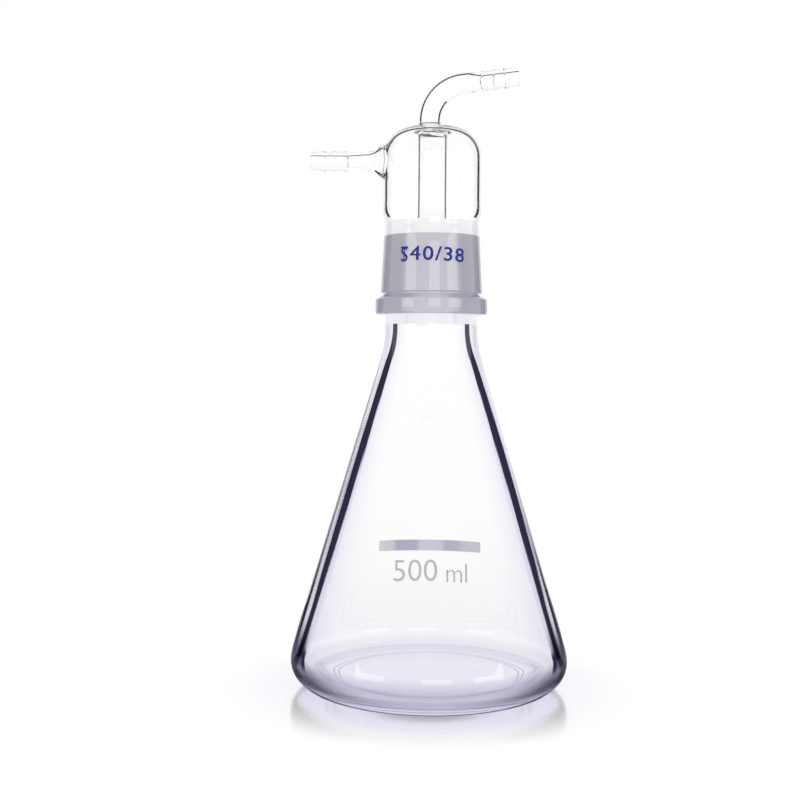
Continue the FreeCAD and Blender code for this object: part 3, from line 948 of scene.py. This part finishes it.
    def pump(self, outer_rim, inner_rim):
        """From the rim in the outer wall along the connection, and back to the inner wall's."""
        neck_end = DOME + 1.25 * MM
        stem_start = neck_end + sqrt(PUMP_FLARE**2 - (PUMP_FLARE - PUMP_NECK + PUMP_STEM) ** 2)
        crest = DOME + PUMP_REACH - TIP_LENGTH - (CRESTS - 1) * CREST_PITCH

        def trumpet(neck, stem):
            """The flare between neck and stem."""
            middle = (stem + PUMP_FLARE, stem_start)
            begin = atan2(neck_end - stem_start, neck - middle[0])
            return arc(middle, PUMP_FLARE, begin, -pi, 8)

        bore = PUMP_STEM - WALL
        way = trumpet(PUMP_NECK, PUMP_STEM)
        way += hose_end(PUMP_STEM, stem_start, crest, bore, stem_start)[:-1]
        way += reversed(trumpet(PUMP_NECK - WALL, bore))
        spots = [self.spots[v] for v in outer_rim]
        turns = [atan2(z - self.pump_height, y) for x, y, z in spots]
        # Beyond the root, the bore's dark line shows on the upper side alone
        upper = [sin(a) > -0.2 for a in turns]
        line_all_round = stem_start - 4 * MM
        rings = [outer_rim] + self.opening(outer_rim, PUMP_NECK, PUMP_ROOT, 0, NO_BORE)
        for radius, distance, dark in marked(way, LINE_PUMP):
            shown = upper if distance > line_all_round else None
            rings.append(self.ring([
                (-distance, radius * cos(a), self.pump_height + radius * sin(a)) for a in turns
            ], dark, shown))
        rings += reversed(self.opening(inner_rim, PUMP_NECK - WALL, PUMP_MOUTH, WALL, LINE_DOME))
        self.loft(rings + [inner_rim])

    def mesh(self, name):
        """The skin as a mesh, smooth but for its edges."""
        made = bpy.data.meshes.new(name)
        made.from_pydata(self.spots, [], self.faces)
        made.polygons.foreach_set("material_index", self.ground)
        made.attributes.new("dark_line", "FLOAT", "POINT").data.foreach_set("value", self.dark)
        shell = bmesh.new()
        shell.from_mesh(made)
        bmesh.ops.recalc_face_normals(shell, faces=shell.faces)
        shell.to_mesh(made)
        shell.free()
        made.shade_smooth()
        made.set_sharp_from_angle(angle=SMOOTH_BELOW)
        return made


class BOTTLE_OT_head(bpy.types.Operator):
    """Lay the head's skin: dome, socket, dip tube, bend and both hose connections"""

    bl_idname = "bottle.head"
    bl_label = "Head"

    def execute(self, context):
        skin = HeadSkin(context.scene.bottle_sizes)
        root_ring, outer_rim, foot_ring = skin.outer_wall()
        inner_rim, bore_ring = skin.inner_wall(foot_ring)
        skin.arm(root_ring, bore_ring)
        skin.pump(outer_rim, inner_rim)
        piece = place_piece("head_glass", skin.mesh("head_glass"))
        piece.data.materials.append(bpy.data.materials["borosilicate_glass_blown"])
        piece.data.materials.append(bpy.data.materials["ground_glass"])
        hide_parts("head")
        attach(piece, "head")
        return {"FINISHED"}


def flat_text(body, width, height, weight, spacing=1.0):
    """Plain sans lettering as a flat mesh, its lower left corner at the origin."""
    curve = bpy.data.curves.new("lettering", "FONT")
    curve.body = body
    curve.offset = weight
    curve.space_character = spacing
    curve.resolution_u = 6
    holder = bpy.data.objects.new("lettering", curve)
    bpy.context.collection.objects.link(holder)
    seen = holder.evaluated_get(bpy.context.evaluated_depsgraph_get())
    mesh = bpy.data.meshes.new_from_object(seen)
    bpy.data.objects.remove(holder)
    bpy.data.curves.remove(curve)
    across = [v.co.x for v in mesh.vertices]
    up = [v.co.y for v in mesh.vertices]
    for vertex in mesh.vertices:
        vertex.co.x = (vertex.co.x - min(across)) * width / (max(across) - min(across))
        vertex.co.y = (vertex.co.y - min(up)) * height / (max(up) - min(up))
    return mesh


def flat_bar(width, height, rounding):
    """A bar with slightly rounded corners as a flat mesh, its lower left corner at the origin."""
    steps = 3
    spots = []
    for number, (x, y) in enumerate(((width, height), (0, height), (0, 0), (width, 0))):
        middle = Vector((x, y)) + Vector((-1 if x else 1, -1 if y else 1)) * rounding
        for step in range(steps + 1):
            turn = pi / 2 * (number + step / steps)
            spots.append((*(middle + Vector((cos(turn), sin(turn))) * rounding), 0))
    mesh = bpy.data.meshes.new("bar")
    mesh.from_pydata(spots, [], [range(len(spots))])
    return mesh


def wrap_print(name, parts, body, matter, height, radius, slope, turn=0.0):
    """Lays flat prints on a glass cone as one thin shell.

    A part is a flat mesh and the place of its lower left corner from the middle of the print.
    Height and radius are the middle's, the slope is the cone's, and the turn is the print's."""
    gap, thickness, slice_width = 0.01 * MM, 0.05 * MM, 0.8 * MM
    shell = bmesh.new()
    for mesh, place in parts:
        mesh.transform(Matrix.Translation(place))
        shell.from_mesh(mesh)
        bpy.data.meshes.remove(mesh)
    bmesh.ops.remove_doubles(shell, verts=shell.verts, dist=0.001 * MM)
    bmesh.ops.triangulate(shell, faces=shell.faces)
    edge = min(v.co.x for v in shell.verts)
    while edge < max(v.co.x for v in shell.verts):
        geometry = [*shell.verts, *shell.edges, *shell.faces]
        bmesh.ops.bisect_plane(shell, geom=geometry, plane_co=(edge, 0, 0), plane_no=(1, 0, 0))
        edge += slice_width
    made = bmesh.ops.extrude_face_region(shell, geom=shell.faces[:])
    for vertex in made["geom"]:
        if isinstance(vertex, bmesh.types.BMVert):
            vertex.co.z += thickness
    bmesh.ops.recalc_face_normals(shell, faces=shell.faces)
    slant = radius / sin(slope)
    for vertex in shell.verts:
        flat = vertex.co.xy
        flat.rotate(Matrix.Rotation(turn, 2))
        reach = sqrt(flat.x**2 + (slant - flat.y) ** 2)
        angle = atan2(flat.x, slant - flat.y) / sin(slope)
        off = gap + vertex.co.z
        out = reach * sin(slope) + off * cos(slope)
        up = height + (slant - reach) * cos(slope) + off * sin(slope)
        vertex.co = (out * sin(angle), -out * cos(angle), up)
    mesh = bpy.data.meshes.new(name)
    shell.to_mesh(mesh)
    shell.free()
    mesh.materials.append(matter)
    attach(place_piece(name, mesh), body)


class BOTTLE_OT_print(bpy.types.Operator):
    """Print the volume mark on the flask and the joint's size on the socket"""

    bl_idname = "bottle.print"
    bl_label = "Print"

    def execute(self, context):
        sizes = context.scene.bottle_sizes
        colours = context.scene.bottle_colours
        slope, side_radius, side_foot = flask_side(sizes)

        def side(height):
            """Radius of the flask's straight side."""
            return side_radius - (height - side_foot) * tan(slope)

        # Painted shade across the bar from left to right, each at its place across
        painted_shades = (
            (-21.0 * MM, "#cbcacc"),
            (-16.0 * MM, "#c4c3c8"),
            (-14.0 * MM, "#a9a5bb"),
            (-6.5 * MM, "#aba7bd"),
            (-4.5 * MM, "#c6c2d4"),
            (3.5 * MM, "#c3bfd1"),
            (5.5 * MM, "#adaabb"),
            (10.5 * MM, "#afacbd"),
            (13.0 * MM, "#bfbcc9"),
            (20.0 * MM, "#c1bec9"),
        )
        bar_height, volume_height = 67.0 * MM, 57.4 * MM
        bar = flat_bar(width=42.4 * MM, height=4.3 * MM, rounding=0.4 * MM)
        wrap_print(
            "volume_bar",
            [(bar, (-22.15 * MM, -1.85 * MM, 0))],
            "flask",
            enamel("enamel_grey_bar", colours.enamel, painted_shades),
            height=bar_height,
            radius=side(bar_height),
            slope=slope,
            turn=radians(-0.65),
        )
        number = flat_text("500", width=17.6 * MM, height=8.5 * MM, weight=-0.008)
        unit = flat_text("ml", width=8.5 * MM, height=7.3 * MM, weight=-0.008)
        wrap_print(
            "volume_figures",
            [(number, (-15.6 * MM, -4.0 * MM, 0)), (unit, (5.7 * MM, -4.3 * MM, 0))],
            "flask",
            enamel("enamel_grey", colours.enamel),
            height=volume_height,
            radius=side(volume_height),
            slope=slope,
        )
        # A bold 4 would close its counter, so a light one is laid down twice, a hair apart
        tall = 6.0 * MM
        fours = [flat_text("4", width=4.5 * MM, height=tall, weight=0.0) for _ in range(2)]
        joint = flat_text("0/38", width=18.5 * MM, height=tall, weight=0.013, spacing=1.12)
        # The taper sign is a T laid over an S, a little higher so that they share no face
        curl = flat_text("S", width=3.4 * MM, height=6.3 * MM, weight=0.007)
        upright = flat_text("T", width=3.6 * MM, height=tall, weight=-0.004)
        print_height = 185.6 * MM
        wrap_print(
            "joint_figures",
            [
                (fours[0], (-10.1 * MM, -2.1 * MM, 0)),
                (fours[1], (-9.8 * MM, -2.1 * MM, 0.03 * MM)),
                (joint, (-4.3 * MM, -2.1 * MM, 0)),
                (curl, (-14.5 * MM, -2.7 * MM, 0)),
                (upright, (-14.6 * MM, -2.2 * MM, 0.06 * MM)),
            ],
            "head",
            enamel("enamel_blue", colours.ink),
            height=print_height,
            radius=HeadSkin(sizes).ground_radius(print_height) + SOCKET_WALL,
            slope=atan2(TAPER, 1),
            turn=radians(-1.6),
        )
        return {"FINISHED"}


def acrylic_sheet(colours):
    """White acrylic sheet: lit from within and smooth, so it mirrors the base close by."""
    material, tree = new_material("acrylic_sheet_white")
    white = list(colours.floor)
    place = add(tree, "ShaderNodeTexCoord")["Object"]
    far = add(tree, "ShaderNodeVectorMath", {0: place}, operation="LENGTH")["Value"]
    matt = add(tree, "ShaderNodeBsdfDiffuse", {"Color": white})[0]
    # Seen straight, the sheet glows a little, and its matt share keeps the shadow
    glow = add(tree, "ShaderNodeEmission", {"Color": white, "Strength": 1.06})[0]
    matt_share = 0.3
    base = add(tree, "ShaderNodeMixShader", {0: matt_share, 1: glow, 2: matt})[0]
    gloss = add(
        tree, "ShaderNodeBsdfGlossy", {"Color": list(colours.floor_shine), "Roughness": 0.16}
    )[0]
    # What it mirrors is strongest under the flask and gone a little further out
    mirror = add(
        tree,
        "ShaderNodeMapRange",
        {"Value": far, "From Min": 54 * MM, "From Max": 96 * MM, "To Min": 0.62, "To Max": 0.0},
        interpolation_type="SMOOTHSTEP",
    )["Result"]
    shown = add(tree, "ShaderNodeMixShader", {0: mirror, 1: base, 2: gloss})[0]
    # Seen through glass it is plain, with faint painted shade round the bottle
    near = add(
        tree,
        "ShaderNodeMapRange",
        {"Value": far, "From Min": 50 * MM, "From Max": 420 * MM},
        interpolation_type="SMOOTHSTEP",
    )["Result"]
    under = add(
        tree, "ShaderNodeMix", {0: near, 6: list(colours.floor_near_shade), 7: white}, data_type="RGBA"
    )[2]
    through = add(tree, "ShaderNodeEmission", {"Color": under, "Strength": 1.0})[0]
    path = add(tree, "ShaderNodeLightPath")
    seen = add(
        tree,
        "ShaderNodeMath",
        {0: path["Is Camera Ray"], 1: path["Is Glossy Ray"]},
        operation="MAXIMUM",
    )[0]
    surface = add(tree, "ShaderNodeMixShader", {0: seen, 1: matt, 2: shown})[0]
    surface = add(
        tree, "ShaderNodeMixShader", {0: path["Is Transmission Ray"], 1: surface, 2: through}
    )[0]
    add(tree, "ShaderNodeOutputMaterial", {"Surface": surface})
    return material


def white_room(colours):
    """A white world, full where the camera, a mirror or the glass shows it, softer as light."""
    world = bpy.data.worlds.new("white_room")
    world.use_nodes = True
    tree = world.node_tree
    path = add(tree, "ShaderNodeLightPath")
    seen = path["Is Camera Ray"]
    for ray in ("Is Glossy Ray", "Is Transmission Ray"):
        seen = add(tree, "ShaderNodeMath", {0: seen, 1: path[ray]}, operation="MAXIMUM")[0]
    strength = add(
        tree, "ShaderNodeMapRange", {"Value": seen, "To Min": 0.85, "To Max": 1.0}
    )["Result"]
    back = tree.nodes["Background"]
    back.inputs["Color"].default_value = colours.floor
    tree.links.new(strength, back.inputs["Strength"])
    return world


def place_lamps(scene):
    """Three upright soft boxes on the camera's side, for the lighter bands on the socket."""
    away, tall, height, radiance = 3.0, 0.58, 0.49, 2.6
    aim = Vector((0, 0, 0.15))
    for side, turn, width in (("left", -50, 1.4), ("middle", 5, 1.3), ("right", 48, 1.4)):
        light = bpy.data.lights.new("soft_box_" + side, "AREA")
        light.shape = "RECTANGLE"
        light.size, light.size_y = width, tall
        light.energy = radiance * width * tall * pi
        lamp = bpy.data.objects.new("soft_box_" + side, light)
        scene.collection.objects.link(lamp)
        angle = radians(turn)
        lamp.location = (away * sin(angle), -away * cos(angle), height)
        lamp.rotation_euler = (aim - lamp.location).to_track_quat("-Z", "Y").to_euler()


def dark_cards():
    """Dark cards that only mirrored light meets. They darken the glass's edges where it mirrors them,
    beside the dark lines painted in the glass.
    """
    reach, near, lift = 1.5, 0.14, 1 * MM
    # Each corner is a turn in degrees from the front, a distance from the axis and a height
    corners = (
        (126, reach, -0.3),
        (152, reach, -0.3),
        (128, reach, 1.2),
        (96, reach, 1.2),
        (126, reach, lift),
        (152, reach, lift),
        (156, near, lift),
        (122, near, lift),
    )
    spots = []
    for side in (-1, 1):
        for turn, away, height in corners:
            angle = radians(turn) * side
            spots.append((away * sin(angle), -away * cos(angle), height))
    mesh = bpy.data.meshes.new("dark_cards")
    mesh.from_pydata(spots, [], [range(first, first + 4) for first in range(0, len(spots), 4)])
    # Black felt: its pile takes nearly all light and has no shine
    felt = bpy.data.materials.new("felt_black")
    felt.use_nodes = True
    pile = felt.node_tree.nodes["Principled BSDF"].inputs
    pile["Base Color"].default_value = linear("#1c1a26")
    pile["Roughness"].default_value = 1.0
    mesh.materials.append(felt)
    cards = place_piece("dark_cards", mesh)
    cards.visible_camera = False
    cards.visible_diffuse = False
    cards.visible_transmission = False
    cards.visible_volume_scatter = False
    cards.visible_shadow = False
    return cards


class BOTTLE_OT_stage(bpy.types.Operator):
    """Lay the floor and set the light and the camera"""

    bl_idname = "bottle.stage"
    bl_label = "Stage"

    def execute(self, context):
        scene = context.scene
        colours = scene.bottle_colours
        # The floor lies a hair below the foot, so that the two don't share a plane
        half, level = 3.0, -0.1 * MM
        mesh = bpy.data.meshes.new("floor")
        signs = ((-1, -1), (1, -1), (1, 1), (-1, 1))
        mesh.from_pydata([(x * half, y * half, level) for x, y in signs], [], [(0, 1, 2, 3)])
        mesh.materials.append(acrylic_sheet(colours))
        place_piece("floor", mesh)
        dark_cards()
        scene.world = white_room(colours)
        place_lamps(scene)

        # The camera stands a little to the left, level with the bottle's middle
        lens = bpy.data.cameras.new("camera")
        lens.sensor_width = 36.0
        lens.lens = 56.1
        lens.shift_y = -0.05
        camera = bpy.data.objects.new("camera", lens)
        scene.collection.objects.link(camera)
        camera.location = (-0.0135, -0.545, 0.1415)
        camera.rotation_euler = (radians(90), radians(-0.45), 0)
        scene.camera = camera
        scene.view_settings.view_transform = "Standard"
        return {"FINISHED"}


class BOTTLE_PT_panel(bpy.types.Panel):
    """Lists the bottle's sizes, colours and pieces"""

    bl_idname = "BOTTLE_PT_panel"
    bl_label = "Buffer bottle"
    bl_space_type = "VIEW_3D"
    bl_region_type = "UI"
    bl_category = "Bottle"

    def draw(self, context):
        for group in (context.scene.bottle_sizes, context.scene.bottle_colours):
            for name in group.__annotations__:
                self.layout.prop(group, name)
        for operator in OPERATORS:
            self.layout.operator(operator.bl_idname)


OPERATORS = (BOTTLE_OT_flask, BOTTLE_OT_head, BOTTLE_OT_print, BOTTLE_OT_stage)
CLASSES = (BottleSizes, BottleColours, *OPERATORS, BOTTLE_PT_panel)


def register():
    """Makes the classes known, and gives the scene its sizes and colours."""
    for cls in CLASSES:
        bpy.utils.register_class(cls)
    bpy.types.Scene.bottle_sizes = bpy.props.PointerProperty(type=BottleSizes)
    bpy.types.Scene.bottle_colours = bpy.props.PointerProperty(type=BottleColours)


def unregister():
    """Takes back what register does."""
    del bpy.types.Scene.bottle_colours
    del bpy.types.Scene.bottle_sizes
    for cls in reversed(CLASSES):
        bpy.utils.unregister_class(cls)


def main():
    """Builds the bottle."""
    register()
    bpy.ops.bottle.flask()
    bpy.ops.bottle.head()
    bpy.ops.bottle.print()
    bpy.ops.bottle.stage()


if __name__ == "__main__":
    main()
